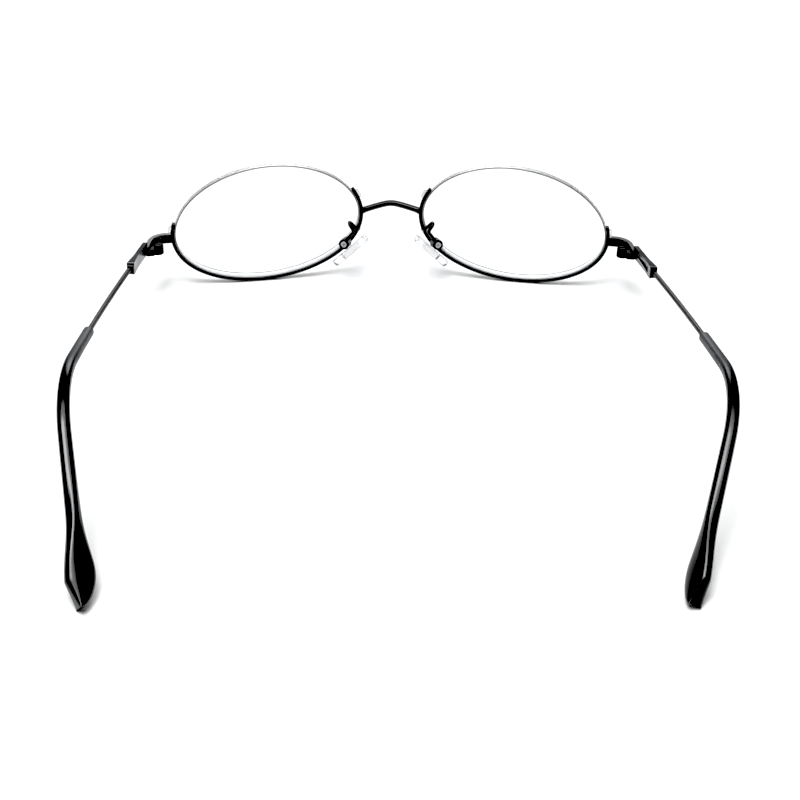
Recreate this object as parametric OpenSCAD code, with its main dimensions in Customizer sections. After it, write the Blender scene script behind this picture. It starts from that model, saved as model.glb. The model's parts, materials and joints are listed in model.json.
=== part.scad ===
// Half-rim spectacles with oval lenses: the metal rims run under the lenses, and a clear filament
// in the lens groove holds them from above. X is the wearer's left, Y is back, Z is up, and the
// spectacles stand open on the table on both rims and both temple ends.

/* [Lenses] */
// Width of a lens along its long axis
lens_w = 53; // [48:0.5:56]
// Height of a lens across its long axis
lens_h = 33.5; // [31:0.5:37]
// Thickness of a lens
lens_t = 2.4; // [2:0.1:3]
// Radius of the sphere that the lenses follow
lens_curve_r = 125; // [100:1:250]
// Gap between the lenses across the nose
lens_gap = 18; // [16:0.5:20]
// Turn of a lens in its own plane, outer end down
lens_turn = 7.5; // [5:0.5:9]
// Forward lean of the top of a lens
lens_lean = 6; // [3:0.5:9]
// Turn of a lens round the face, outer end back
lens_wrap = 7; // [5:0.5:9]
// Width of the groove round the lens edge
groove_w = 0.7; // [0.66:0.02:0.8]
// Depth of the groove round the lens edge
groove_d = 0.45; // [0.35:0.05:0.6]

/* [Rims] */
// Width of a rim across its wire, in the plane of the lens
rim_w = 1; // [0.9:0.05:1.2]
// Depth of a rim from front to back
rim_depth = 1.7; // [1.5:0.05:2]
// Depth of the channel inside a rim
channel_d = 0.4; // [0.35:0.05:0.5]
// Width of the channel inside a rim
channel_w = 0.8; // [0.75:0.05:0.9]
// Height of the rim's nose end, as an angle on the oval
nose_end_rise = 20; // [16:4:24]
// Height of the rim's outer end, as an angle on the oval
outer_end_rise = 16; // [16:4:24]
// Distance from a rim's end to its first filament hole
first_hole = 1.05; // [1:0.05:1.3]
// Distance between the two filament holes at a rim's end
hole_pitch = 1.9; // [1.7:0.1:2.2]

/* [Filament] */
// Diameter of the clear filament
cord_d = 0.6; // [0.5:0.02:0.62]
// Height that a filament loop stands off the rim
loop_stand = 0.45; // [0.45:0.05:0.7]

/* [Bridge] */
// Diameter of the bridge wire
bridge_d = 1.75; // [1.5:0.05:2]
// Rise of the bridge at its middle
bridge_rise = 1.3; // [0.8:0.1:2]
// Forward bow of the bridge at its middle
bridge_bow = 2; // [1:0.1:3]

/* [Nose pads] */
// Length of a nose pad
pad_l = 12.7; // [11:0.1:13.5]
// Width of a nose pad
pad_w = 7; // [6:0.1:7.5]
// Thickness of a nose pad
pad_t = 2; // [1.8:0.1:2.4]
// Lean of a nose pad's long axis from upright
pad_slant = 45.9; // [42:0.1:48]
// Turn of a nose pad's face towards the back
pad_splay = 20; // [17:1:23]
// Height of a pad screw below the middle of the lens
pad_drop = 5.1; // [4.7:0.1:5.5]
// Distance of a pad screw behind the front
pad_back = 5.2; // [5:0.1:5.8]
// Distance of a pad screw from the middle of the nose
pad_side = 13.05; // [12.9:0.05:13.4]
// Diameter of a pad arm's wire
arm_d = 1; // [0.8:0.05:1.05]
// Diameter of the round pad box
box_d = 3; // [2.8:0.1:3.2]
// Depth of the pad box along its screw
box_l = 3.2; // [3:0.1:3.4]
// Diameter of a pad screw's shank
pad_screw_d = 0.8; // [0.7:0.05:0.9]
// Diameter of a pad screw's head
pad_head_d = 1.65; // [1.5:0.05:1.8]

/* [End pieces and hinges] */
// Thickness of the end piece strip
strip_t = 1.2; // [1:0.05:1.3]
// Height of the end piece strip
strip_h = 2.75; // [2.4:0.05:3]
// Radius of the strip's bend to the side, outside
strip_r = 5.15; // [5:0.05:5.5]
// Straight part of the strip before its bend
lug_l = 1.2; // [1:0.1:1.8]
// Diameter of the hinge barrel
barrel_d = 2.9; // [2.7:0.05:3]
// Height of the hinge barrel
barrel_h = 2.5; // [2.3:0.1:2.8]
// Height of the middle knuckle
knuckle_h = 1; // [0.8:0.05:1.1]
// Distance of the hinge axis inside the strip's outer face
axis_inset = 3.05; // [3:0.05:3.2]
// Diameter of the hinge screw
screw_d = 1.2; // [1:0.05:1.3]

/* [Temples] */
// Length of a temple's line, from beside the hinge to its end
temple_l = 143.5; // [138:0.5:149]
// Outward turn of a temple at the hinge
splay = 7.1; // [6:0.1:9]
// Inward bow of a temple's wire, in degrees per millimetre
bow = 0.046; // [0.036:0.002:0.056]
// Length of the flat bar behind the hinge
bar_l = 19; // [17:0.5:21]
// Height of the flat bar
bar_h = 3.4; // [3.1:0.1:3.6]
// Thickness of the flat bar at its front
bar_t = 1.2; // [1.1:0.05:1.3]
// Thickness of the flat bar at its rear
bar_rear_t = 2; // [1.8:0.1:2.3]
// Diameter of the temple wire
wire_d = 1.35; // [1.2:0.05:1.45]
// Distance along the temple to the middle of the ear bend
bend_at = 91; // [86:0.2:94]
// Length of the ear bend
bend_l = 24.2; // [18:0.2:27]
// Downward angle of the ear bend
bend_drop = 45; // [42:1:47]
// Inward angle of the left temple beyond the ear bend
left_tip_inward = 11.5; // [9:0.1:20]
// Inward angle of the right temple beyond the ear bend
right_tip_inward = 18.3; // [9:0.1:20]

/* [Temple tips] */
// Distance along the temple to the start of the tip sleeve
sleeve_at = 62; // [56:1:68]
// Diameter of the sleeve at its start
sleeve_d = 2.6; // [2.4:0.05:2.8]
// Diameter of the sleeve where the paddle begins
neck_d = 3.35; // [3.1:0.05:3.6]
// Height of the paddle
paddle_h = 7.6; // [6.5:0.1:8.5]
// Thickness of the paddle
paddle_t = 3.7; // [3.2:0.1:4]
// Twist of the left paddle, lower edge inwards
left_paddle_twist = 73; // [30:1:80]
// Twist of the right paddle, lower edge inwards
right_paddle_twist = 42; // [30:1:80]
// Length of the slanting cut at the paddle's upper corner
end_cut = 6.1; // [4:0.1:8]
// Length of the rounding at the paddle's lower corner
end_round = 11; // [8:0.2:13]

/* [Hidden] */

// Finishes
black_metal = "#1c1c1e";
black_acetate = "#0d0d10";
clear_plastic = "#dfe6e8";
lens_tint = "#e8f0f2";
bright_steel = "#b9bcc0";

// Clearances
fit = 0.04;
screw_fit = 0.02;
wire_fit = 0.03;
turn_fit = 0.05;
face_gap = 0.1;
$fn = 48;

// Lens oval: points on curves parallel to its edge
facet = 4;
half_w = lens_w / 2;
half_h = lens_h / 2;
sag_edge = sqrt(pow(lens_curve_r, 2) - pow(half_w, 2));
rim_in = fit;
rim_out = rim_in + rim_w;
rim_from = 180 - nose_end_rise;
rim_to = 360 + outer_end_rise;

function edge_normal(a) =
    let(n = [half_h * cos(a), half_w * sin(a)]) n / norm(n);
function edge_point(a, off) = [half_w * cos(a), half_h * sin(a)] + off * edge_normal(a);
function edge_speed(a) = norm([half_w * sin(a), half_h * cos(a)]) * PI / 180;
function sag(p) = sqrt(pow(lens_curve_r, 2) - p * p) - sag_edge;
function on_lens(p, depth = 0) = [p.x, p.y, sag(p) + depth];

// Place of the left lens in the frame
half_turned = norm([half_w * cos(lens_turn), half_h * sin(lens_turn)]);
axis_x = [
    cos(lens_wrap) * cos(lens_turn) - sin(lens_wrap) * sin(lens_lean) * sin(lens_turn),
    sin(lens_wrap) * cos(lens_turn) + cos(lens_wrap) * sin(lens_lean) * sin(lens_turn),
    -cos(lens_lean) * sin(lens_turn)
];
axis_y = [
    cos(lens_wrap) * sin(lens_turn) + sin(lens_wrap) * sin(lens_lean) * cos(lens_turn),
    sin(lens_wrap) * sin(lens_turn) - cos(lens_wrap) * sin(lens_lean) * cos(lens_turn),
    cos(lens_lean) * cos(lens_turn)
];
axis_z = cross(axis_x, axis_y);
function turned(p) = p.x * axis_x + p.y * axis_y + p.z * axis_z;
rim_low = min([
    for (a = [rim_from : facet : rim_to])
        for (side = [-1, 1])
            turned(on_lens(edge_point(a, rim_out), side * rim_depth / 2)).z
]);
lens_at = [
    lens_gap / 2 + half_turned * cos(lens_wrap),
    half_turned * sin(lens_wrap),
    -rim_low
];
function in_frame(p) = lens_at + turned(p);

// Filament holes and the ends of the liner, as angles on the oval
stub_l = 1.2;
liner_gap = 1.4 * stub_l;
tail_l = 1.1;
hole_room = 0.16;
nose_holes = [
    rim_from + first_hole / edge_speed(rim_from),
    rim_from + (first_hole + hole_pitch) / edge_speed(rim_from)
];
outer_holes = [
    rim_to - first_hole / edge_speed(rim_to),
    rim_to - (first_hole + hole_pitch) / edge_speed(rim_to)
];
liner_from = facet * ceil((nose_holes[1] + liner_gap / edge_speed(rim_from)) / facet);
liner_to = facet * floor((outer_holes[1] - liner_gap / edge_speed(rim_to)) / facet);
liner_w = min(groove_w, channel_w) - 2 * fit;
hole_d = cord_d + hole_room;

// Bridge and end piece places
strip_rise = 0.35;
strip_set = 1.15;
bridge_angle = 183;
bridge_bend = 0.27;
bridge_room = 0.5;
bridge_end = in_frame(on_lens(edge_point(bridge_angle, rim_out)));
outer_point = in_frame(on_lens(edge_point(0, rim_out)));
strip_z = outer_point.z + strip_rise;
elbow = [outer_point.x + lug_l * cos(lens_wrap), outer_point.y + strip_r - strip_set];
strip_mid_r = strip_r - strip_t / 2;

// Hinge place: the parting plane lies behind the strip's bend
axis_ahead = 0.4;
parting_back = 3.3;
barrel_drop = 1.15;
hinge_axis = [elbow.x + strip_r - axis_inset, elbow.y - axis_ahead];
parting_y = elbow.y + parting_back;
barrel_low = strip_z - barrel_h / 2 - barrel_drop;
knuckle_low = barrel_low + (barrel_h - knuckle_h) / 2;
leaf_t = 0.8;
leaf_l = 1.7;
arm_in = 0.3;
block_out = 0.8;
block_from = 1.6;
block_t = 2.4;
block_down = 1.25;
block_up = 0.6;
slot_w = 0.3;

// Temple line: it starts at the wire's line beside the hinge and turns down at the ear.
// Each side's way holds its inward angle, its paddle's twist and its rise.
bar_inset = 0.2;
line_out = 0.6;
line_back = -0.9;
line_up = 1.1;
line_start = [
    elbow.x + strip_mid_r * cos(splay) + bar_inset + line_out,
    parting_y + line_back,
    strip_z + line_up
];
function clamped(k) = min(1, max(0, k));
function ease(k) = k * k * (3 - 2 * k);
function share(s, from, to) = ease(clamped((s - from) / (to - from)));
function heading(s, way) =
    let(
        k = clamped((s - bend_at) / bend_l + 0.5),
        a = splay - bow * max(0, s - bar_l),
        b = way[2] - bend_drop * k,
        v = [sin(a) * cos(b) - tan(way[0]) * k, cos(a) * cos(b), sin(b)]
    ) v / norm(v);
function temple_line(way) =
    [for (i = 0, p = line_start; i <= temple_l + 1; p = p + heading(i + 0.5, way), i = i + 1) p];
function along(line, s) =
    let(i = floor(s), k = s - i) line[i] * (1 - k) + line[i + 1] * k;

// Sleeve section: a squarish oval that grows into the twisted paddle. Near the end a slanting cut
// lowers and flattens its upper edge, and a long rounding raises its lower edge.
sleeve_sides = 16;
mouth_edge = 0.5;
mouth_share = 0.88;
flare_l = 23.2;
flat_l = 5;
twist_lead = 10;
flare_from = temple_l - flare_l;
flare_to = temple_l - flat_l;
end_top = 1.5;
end_wall = 0.3;
squareness = 0.8;
flattening = 0.4;
function squarish(c, power) = sign(c) * pow(abs(c), power);
function outward(t) = cross(t, [0, 0, 1]) / norm(cross(t, [0, 0, 1]));
function sleeve_ring(s, line, way) =
    let(
        p = along(line, s),
        t = heading(s, way),
        out = outward(t),
        up = cross(out, t),
        w = way[1] * share(s, flare_from - twist_lead, flare_to),
        side = out * cos(w) - up * sin(w),
        tall = up * cos(w) + out * sin(w),
        d = (sleeve_d + (neck_d - sleeve_d) * share(s, sleeve_at, flare_from))
            * (s < sleeve_at + mouth_edge ? mouth_share : 1),
        half_h = (d + (paddle_h - neck_d) * share(s, flare_from, flare_to)) / 2,
        half_t = (d + (paddle_t - neck_d) * share(s, flare_from, flare_to)) / 2,
        cut = clamped(1 - (temple_l - s) / end_cut),
        high = half_h - (half_h - end_top) * cut,
        k = clamped(1 - (temple_l - s) / end_round),
        low = (half_h + end_top - end_wall) * (1 - sqrt(1 - k * k)) - half_h
    )
    [
        for (j = [0 : sleeve_sides - 1])
            let(
                a = 360 * j / sleeve_sides,
                power = squareness - (abs(a - 180) < 90 ? flattening * cut : 0),
                c = squarish(sin(a), power) * half_t,
                rise = (1 - squarish(cos(a), power)) / 2
            )
            p + side * c + tall * (low + rise * (high - low))
    ];
round_stations = [for (q = [10 : 10 : 90]) temple_l - end_round * (1 - sin(q))];
cut_station = temple_l - end_cut;
end_stations = concat(
    [for (s = round_stations) if (s < cut_station - 0.3) s],
    [cut_station],
    [for (s = round_stations) if (s > cut_station + 0.3) s]
);
function lowest(way) =
    let(line = temple_line(way))
        min([for (s = end_stations) for (p = sleeve_ring(s, line, way)) p.z]);
function level(way, n) =
    n == 0 ? way : level(way - [0, 0, lowest(way) / temple_l * 180 / PI], n - 1);
left_way = level([left_tip_inward, left_paddle_twist, 9], 5);
right_way = level([right_tip_inward, right_paddle_twist, 9], 5);

// The whole model is moved so that the origin lies at the middle of its footprint
front_y = bridge_end.y - bridge_bow - bridge_d / 2;
back_y = max([
    for (way = [left_way, right_way])
        let(line = temple_line(way))
            for (s = end_stations)
                for (p = sleeve_ring(s, line, way))
                    p.y
]);
shift_y = -(front_y + back_y) / 2;

// Swept tubes
function unit(v) = v / norm(v);
function tangent(path, i) = unit(path[min(i + 1, len(path) - 1)] - path[max(i - 1, 0)]);
function square_to(n, t) = unit(n - (n * t) * t);
function normals(path, n0) =
    [
        for (i = 0, n = square_to(n0, tangent(path, 0));
            i < len(path);
            n = square_to(n, tangent(path, min(i + 1, len(path) - 1))), i = i + 1)
            n
    ];
function ring(p, t, n, r, sides) =
    [for (j = [0 : sides - 1]) p + r * (n * cos(360 * j / sides) + cross(t, n) * sin(360 * j / sides))];
function wall_faces(rings, sides, start) =
    [
        for (i = [0 : rings - 2])
            for (j = [0 : sides - 1])
                for (half = [0, 1])
                    let(
                        a = start + i * sides + j,
                        b = start + i * sides + (j + 1) % sides,
                        c = a + sides,
                        d = b + sides
                    )
                    half == 0 ? [a, b, d] : [a, d, c]
    ];
function cap_faces(sides, start, flip) =
    [
        for (j = [1 : sides - 2])
            flip ? [start, start + j + 1, start + j] : [start, start + j, start + j + 1]
    ];
function turned_over(faces) = [for (f = faces) [f[0], f[2], f[1]]];

module tube(path, d, n0, sides) {
    frames = normals(path, n0);
    rings = len(path);
    points = [for (i = [0 : rings - 1]) each ring(path[i], tangent(path, i), frames[i], d / 2, sides)];
    faces = concat(
        wall_faces(rings, sides, 0),
        cap_faces(sides, 0, true),
        cap_faces(sides, (rings - 1) * sides, false)
    );
    polyhedron(points, turned_over(faces));
}

// A path through corner points, each corner rounded within the given reach
function rounded(corners, reach, steps) =
    [
        corners[0],
        for (i = [1 : len(corners) - 2])
            let(
                a = corners[i] + unit(corners[i - 1] - corners[i]) * reach,
                c = corners[i] + unit(corners[i + 1] - corners[i]) * reach
            )
            for (k = [0 : steps])
                let(u = k / steps)
                    pow(1 - u, 2) * a + 2 * u * (1 - u) * corners[i] + u * u * c,
        corners[len(corners) - 1]
    ];

// Placement of the two sides
module left() {
    translate([0, shift_y, 0])
        children();
}
module right() {
    translate([0, shift_y, 0])
        mirror([1, 0, 0])
            children();
}
module at_lens() {
    translate(lens_at)
        rotate([0, 0, lens_wrap])
            rotate([90, 0, 0])
                rotate([lens_lean, 0, 0])
                    rotate([0, 0, -lens_turn])
                        children();
}

// Lens-shaped building blocks
module ball(r) {
    translate([0, 0, -sag_edge])
        rotate([90, 0, 0])
            sphere(r, $fn = 240);
}
module shell(t) {
    difference() {
        ball(lens_curve_r + t / 2);
        ball(lens_curve_r - t / 2);
    }
}
column_h = 16;
module oval_column(off) {
    translate([0, 0, -column_h / 2])
        linear_extrude(column_h)
            polygon([for (a = [0 : facet : 360 - facet]) edge_point(a, off)]);
}
module rim_column(from, to, inner, outer) {
    translate([0, 0, -column_h / 2])
        linear_extrude(column_h)
            polygon(concat(
                [for (a = [from : facet : to]) edge_point(a, outer)],
                [for (a = [to : -facet : from]) edge_point(a, inner)]
            ));
}

module lens_shape() {
    at_lens()
        difference() {
            intersection() {
                shell(lens_t);
                oval_column(0);
            }
            intersection() {
                shell(groove_w);
                difference() {
                    oval_column(1);
                    oval_column(-groove_d);
                }
            }
        }
}

// A drilled filament hole across the rim, along the filament's way out
cord_in = cord_d / 2 + fit - groove_d;
cord_out = rim_out + loop_stand;
module cord_hole(a) {
    start = on_lens(edge_point(a, cord_in));
    way = on_lens(edge_point(a, cord_out)) - start;
    translate(start)
        rotate([0, atan2(norm([way.x, way.y]), way.z), atan2(way.y, way.x)])
            cylinder(h = 2 * norm(way), d = hole_d);
}

module rim_shape() {
    at_lens()
        difference() {
            intersection() {
                shell(rim_depth);
                rim_column(rim_from, rim_to, rim_in, rim_out);
            }
            intersection() {
                shell(channel_w);
                rim_column(rim_from, rim_to, rim_in - 1, rim_in + channel_d);
            }
            for (a = concat(nose_holes, outer_holes))
                cord_hole(a);
        }
}

module liner_shape() {
    at_lens()
        intersection() {
            shell(liner_w);
            rim_column(liner_from, liner_to, fit - groove_d, rim_in + channel_d - fit);
        }
}

// The filament lies in the lens groove and loops out and in again at each rim end
function cord_end(holes, dir) =
    [
        edge_point(holes[1] + dir * stub_l / edge_speed(holes[1]), cord_in),
        edge_point(holes[1], cord_in),
        edge_point(holes[1], cord_out),
        edge_point(holes[0], cord_out),
        edge_point(holes[0], cord_in),
        edge_point(holes[0] - dir * tail_l / edge_speed(holes[0]), cord_in)
    ];
corner_reach = min(loop_stand, rim_in + channel_d - cord_in);
module cord_shape() {
    nose = rounded(cord_end(nose_holes, 1), corner_reach, 4);
    outer = rounded(cord_end([for (a = outer_holes) a - 360], -1), corner_reach, 4);
    over = [for (a = [rim_from - facet : -facet : outer_end_rise + facet]) edge_point(a, cord_in)];
    back = [for (i = [len(outer) - 1 : -1 : 0]) outer[i]];
    path = [for (p = concat(nose, over, back)) on_lens(p)];
    at_lens()
        tube(path, cord_d, [0, 0, 1], 8);
}

// The bridge has straight legs and a round top, and ends on the outer face of each rim
function arch(u) =
    (norm([1, bridge_bend]) - norm([u, bridge_bend])) / (norm([1, bridge_bend]) - bridge_bend);
module bridge_shape() {
    steps = 24;
    path = [
        for (i = [0 : steps])
            let(u = (2 * i / steps - 1) * (1 + bridge_room / bridge_end.x))
                [
                    u * bridge_end.x,
                    bridge_end.y - bridge_bow * arch(u),
                    bridge_end.z + bridge_rise * arch(u)
                ]
    ];
    difference() {
        tube(path, bridge_d, [0, 0, 1], 16);
        at_lens()
            oval_column(rim_out);
        mirror([1, 0, 0])
            at_lens()
                oval_column(rim_out);
    }
}

// Nose pad parts stand on the screw's centre, x up the pad, y along the screw, z to the nose
pad_at = [pad_side, pad_back, lens_at.z - pad_drop];
lug_r = 0.7;
cheek_t = 0.55;
lug_w = box_l - 2 * (cheek_t + face_gap);
rock_room = 0.2;
head_seat = 0.3;
pad_face = box_d / 2 + face_gap;
insert_l = 5.2;
insert_w = 2.2;
insert_t = 0.7;
module at_pad() {
    translate(pad_at)
        rotate([0, -90 - pad_slant, 0])
            rotate([-pad_splay, 0, 0])
                children();
}
function pad_axis_x() = [-sin(pad_slant), 0, cos(pad_slant)];
function pad_axis_y() =
    [cos(pad_slant) * sin(pad_splay), cos(pad_splay), sin(pad_slant) * sin(pad_splay)];
function pad_axis_z() = cross(pad_axis_x(), pad_axis_y());
function from_pad(p) = pad_at + p.x * pad_axis_x() + p.y * pad_axis_y() + p.z * pad_axis_z();

arm_angle = 200.2;
arm_curl = 1.2;
arm_reach = 0.75;
module arm_shape() {
    root = on_lens(edge_point(arm_angle, rim_in + rim_w * 0.55), -rim_depth / 2 - fit);
    corners = [
        in_frame(root),
        in_frame(root - arm_curl * unit(root + [0, 0, sag_edge])),
        in_frame(root + [2.4, 3.4, -2]),
        in_frame(root + [2.6, 3.3, -3.7]),
        from_pad([4.6, 0.85, -0.9]),
        from_pad([box_d / 2 - 0.35, 0.2, -0.4])
    ];
    difference() {
        tube(rounded(corners, arm_reach, 5), arm_d, [0, 0, 1], 10);
        at_pad()
            box_outline();
    }
}
module box_outline() {
    rotate([90, 0, 0])
        cylinder(h = box_l, d = box_d, center = true);
}
module box_shape() {
    at_pad()
        difference() {
            box_outline();
            translate([-lug_r - rock_room, -lug_w / 2 - face_gap, -lug_r - face_gap])
                cube([2 * (lug_r + rock_room), lug_w + 2 * face_gap, box_d]);
            rotate([90, 0, 0])
                cylinder(h = box_l + 1, d = pad_screw_d + 2 * screw_fit, center = true);
            translate([0, box_l / 2 - head_seat, 0])
                rotate([-90, 0, 0])
                    cylinder(h = 1, d = pad_head_d + 2 * fit);
        }
}
module pad_screw_shape() {
    at_pad()
        difference() {
            union() {
                rotate([90, 0, 0])
                    cylinder(h = box_l - 0.1, d = pad_screw_d, center = true);
                translate([0, box_l / 2 - head_seat + screw_fit, 0])
                    rotate([-90, 0, 0])
                        cylinder(h = 2 * head_seat, d = pad_head_d);
            }
            translate([-pad_head_d, box_l / 2 + 0.1, -slot_w / 2])
                cube([2 * pad_head_d, 1, slot_w]);
        }
}
module stem_shape() {
    at_pad()
        difference() {
            union() {
                rotate([90, 0, 0])
                    cylinder(h = lug_w, r = lug_r, center = true);
                translate([-lug_r, -lug_w / 2, 0])
                    cube([2 * lug_r, lug_w, pad_face + pad_t / 2]);
                translate([-insert_l / 2, -insert_w / 2, pad_face + (pad_t - insert_t) / 2])
                    cube([insert_l, insert_w, insert_t]);
            }
            rotate([90, 0, 0])
                cylinder(h = box_l, d = pad_screw_d + 2 * turn_fit, center = true);
        }
}
// The pad is an oval lozenge with rounded rims and a flat face towards the nose
pad_sides = 32;
pad_edge = 1.6;
pad_taper = 0.12;
pad_levels = [
    [0, 0.72],
    [0.08, 0.86],
    [0.3, 0.98],
    [0.5, 1],
    [0.7, 0.98],
    [0.92, 0.86],
    [1, 0.7]
];
module pad_shape() {
    points = [
        for (level = pad_levels)
            for (j = [0 : pad_sides - 1])
                let(a = 360 * j / pad_sides, c = cos(a), s = sin(a), inset = pad_edge * (1 - level[1]))
                    [
                        (pad_l / 2 - inset) * squarish(c, squareness),
                        (pad_w / 2 - inset) * squarish(s, squareness) * (1 - pad_taper * c),
                        pad_face + level[0] * pad_t
                    ]
    ];
    levels = len(pad_levels);
    faces = concat(
        wall_faces(levels, pad_sides, 0),
        cap_faces(pad_sides, 0, true),
        cap_faces(pad_sides, (levels - 1) * pad_sides, false)
    );
    at_pad()
        difference() {
            polyhedron(points, turned_over(faces));
            translate([-lug_r - fit, -lug_w / 2 - fit, 0])
                cube([2 * (lug_r + fit), lug_w + 2 * fit, pad_face + pad_t / 2]);
            translate([
                -insert_l / 2 - fit,
                -insert_w / 2 - fit,
                pad_face + (pad_t - insert_t) / 2 - fit
            ])
                cube([insert_l + 2 * fit, insert_w + 2 * fit, insert_t + 2 * fit]);
        }
}

// End piece: a strip from the rim's outer face, bent to the side, cut square at the parting
// The straight legs are a hair thinner than the bend that they run into.
module end_piece_shape() {
    overlap = 0.3;
    trim = 0.02;
    difference() {
        translate([elbow.x, elbow.y, strip_z - strip_h / 2]) {
            rotate([0, 0, lens_wrap - 90])
                rotate_extrude(angle = 90 - lens_wrap - splay, $fn = 96)
                    translate([strip_r - strip_t, 0])
                        square([strip_t, strip_h]);
            rotate([0, 0, lens_wrap])
                translate([-lug_l - rim_w, trim - strip_r, 0])
                    cube([lug_l + rim_w + overlap, strip_t - 2 * trim, strip_h]);
            rotate([0, 0, -splay])
                translate([strip_r - strip_t + trim, -overlap, 0])
                    cube([strip_t - 2 * trim, 2 * parting_back + overlap, strip_h]);
        }
        at_lens()
            oval_column(rim_out);
        translate([elbow.x, parting_y - face_gap / 2, strip_z - strip_h])
            cube([2 * strip_r, 5, 2 * strip_h]);
    }
}

// Front half of the hinge: two knuckles on a block inside the strip
module front_hinge_shape() {
    seat_r = strip_r - strip_t;
    block_back = hinge_axis.y - axis_ahead;
    difference() {
        union() {
            translate([hinge_axis.x, hinge_axis.y, barrel_low])
                cylinder(h = barrel_h, d = barrel_d);
            intersection() {
                translate([elbow.x, elbow.y, barrel_low])
                    cylinder(h = barrel_h, r = seat_r - fit / 2, $fn = 96);
                translate([hinge_axis.x - 0.6, block_back - 3, barrel_low])
                    cube([strip_r, 3, barrel_h]);
            }
        }
        translate([hinge_axis.x, hinge_axis.y, knuckle_low - turn_fit])
            cylinder(h = knuckle_h + 2 * turn_fit, d = barrel_d + 4 * face_gap);
        translate([hinge_axis.x, hinge_axis.y, barrel_low - 1])
            cylinder(h = barrel_h + 2, d = screw_d + 2 * screw_fit);
    }
}
module hinge_screw_shape() {
    head_t = 0.25;
    head_d = barrel_d - 0.6;
    translate([hinge_axis.x, hinge_axis.y, barrel_low])
        difference() {
            union() {
                cylinder(h = barrel_h + head_t, d = screw_d);
                translate([0, 0, barrel_h + screw_fit])
                    cylinder(h = head_t, d = head_d);
            }
            translate([-barrel_d, -slot_w / 2, barrel_h + head_t / 2])
                cube([2 * barrel_d, slot_w, head_t]);
        }
}

// Rear half of the hinge: the middle knuckle on a block beside the strip, with a leaf on the bar
bar_in_x = line_start.x - (bar_inset + bar_t / 2) / cos(splay);
function leaf_at(y) = bar_in_x + (y - line_start.y) * tan(splay);
module temple_hinge_shape() {
    near = hinge_axis.y + block_from;
    far = near + block_t;
    seat = parting_y + face_gap;
    rear = seat + leaf_l;
    strip_in = (strip_r - strip_t) / cos(splay);
    inner_x = hinge_axis.x + block_out;
    difference() {
        union() {
            translate([hinge_axis.x, hinge_axis.y, knuckle_low])
                cylinder(h = knuckle_h, d = barrel_d);
            translate([hinge_axis.x - arm_in, hinge_axis.y, knuckle_low])
                cube([arm_in + barrel_d / 2, block_from + block_t / 2, knuckle_h]);
            translate([0, 0, strip_z - block_down])
                linear_extrude(block_up + block_down)
                    polygon([
                        [inner_x, near],
                        [elbow.x + strip_in + (near - elbow.y) * tan(splay) - face_gap, near],
                        [elbow.x + strip_in + (seat - elbow.y) * tan(splay) - face_gap, seat],
                        [leaf_at(seat) - fit / 2, seat],
                        [leaf_at(rear) - fit / 2, rear],
                        [leaf_at(rear) - leaf_t, rear],
                        [leaf_at(far) - leaf_t, far],
                        [inner_x, far]
                    ]);
        }
        translate([hinge_axis.x, hinge_axis.y, barrel_low - 1])
            cylinder(h = barrel_h + 2, d = screw_d + 2 * turn_fit);
    }
}

// Flat bar: it widens to a round rear end, where the wire is let in
module at_bar(way) {
    translate(line_start)
        rotate([0, 0, -splay])
            rotate([way[2], 0, 0])
                children();
}
wire_seat = 3.2;
module bar_shape(way) {
    rear_r = bar_rear_t / 2;
    straight = bar_l - rear_r;
    widening = straight - 6;
    difference() {
        at_bar(way)
            difference() {
                intersection() {
                    translate([-bar_inset, 0, -bar_h / 2])
                        linear_extrude(bar_h) {
                            polygon([
                                [bar_t / 2, -3],
                                [bar_t / 2, widening],
                                [rear_r, straight],
                                [-rear_r, straight],
                                [-bar_t / 2, widening],
                                [-bar_t / 2, -3]
                            ]);
                            translate([0, straight])
                                circle(r = rear_r);
                        }
                    translate([-bar_rear_t, 0, 0])
                        rotate([90, 0, 90])
                            linear_extrude(2 * bar_rear_t) {
                                translate([-4, -bar_h / 2])
                                    square([bar_l + 4 - bar_h / 2, bar_h]);
                                translate([bar_l - bar_h / 2, 0])
                                    circle(d = bar_h);
                            }
                }
                if (way == right_way)
                    pocket();
                translate([0, bar_l - wire_seat, 0])
                    rotate([-90, 0, 0])
                        cylinder(h = wire_seat + 2, d = wire_d + 2 * screw_fit);
            }
        translate([line_start.x - 5, parting_y + face_gap / 2 - 6, 0])
            cube([10, 6, 3 * strip_z]);
    }
}
// Long drop-shaped pocket in the right bar's inner face, wide at the rear
module pocket() {
    outer_wall = 0.75;
    from = 3.2;
    to = bar_l - 4.4;
    tall = bar_h * 0.3;
    translate([bar_t / 2 - bar_inset - outer_wall - bar_rear_t, 0, 0])
        rotate([90, 0, 90])
            linear_extrude(bar_rear_t) {
                polygon([[from, 0], [to, tall], [to, -tall]]);
                translate([to, 0])
                    circle(r = tall);
            }
}

// Temple wire: let into the bar, bare to the sleeve, then its core
core_short = 12;
core_end = temple_l - core_short;
wire_from = bar_l - wire_seat + 0.1;
wire_stations = concat(
    [wire_from],
    [for (s = [24 : 10 : bend_at - bend_l / 2]) s],
    [for (s = [bend_at - bend_l / 2 : 3.2 : bend_at + bend_l / 2 + 1]) s],
    [for (s = [bend_at + bend_l / 2 + 6 : 6 : core_end - 3]) s],
    [core_end]
);
module wire_shape(way) {
    line = temple_line(way);
    tube([for (s = wire_stations) along(line, s)], wire_d, [0, 0, 1], 10);
}

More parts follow.
